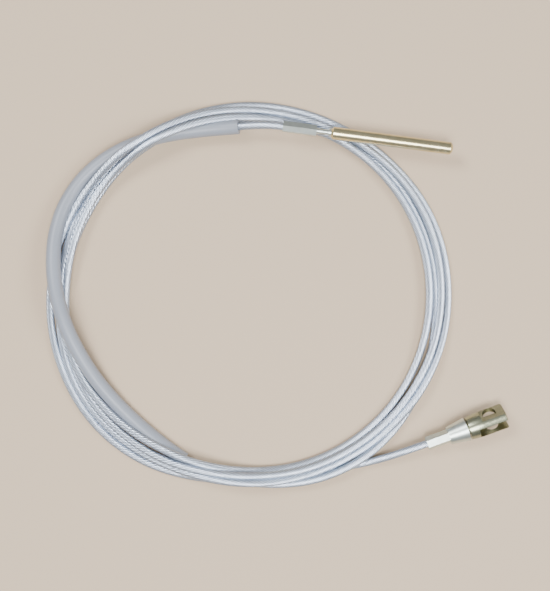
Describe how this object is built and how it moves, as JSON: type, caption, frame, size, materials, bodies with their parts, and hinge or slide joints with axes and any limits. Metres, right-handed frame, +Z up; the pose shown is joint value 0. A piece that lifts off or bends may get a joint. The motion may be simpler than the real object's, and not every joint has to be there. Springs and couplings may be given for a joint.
{
  "type": "pull cable",
  "caption": "Long wire-rope pull cable coiled flat, part sleeved, with a crimped plain rod on one end and a crimped slotted fork with a cross hole on the other.",
  "frame": {"origin": "on the surface the cable lies on, under the middle of the box round the sleeve and the end fittings", "axes": "+X along the fork from its shank to its tip, +Z up from the surface the coil lies on"},
  "size_m": [0.2537, 0.2317, 0.0173],
  "materials": {
    "rope": "galvanised, satin",
    "sleeve": "satin",
    "crimp": "zinc plated",
    "rod": "yellow zinc",
    "fork": "yellow zinc"
  },
  "bodies": {
    "root": {"rope_lead": "rope", "rope_coil": "rope", "rope_tail": "rope", "sleeve": "sleeve", "rod_ferrule": "crimp", "end_rod": "rod", "clevis_ferrule": "crimp", "clevis_fork": "fork"}
  },
  "joints": []
}
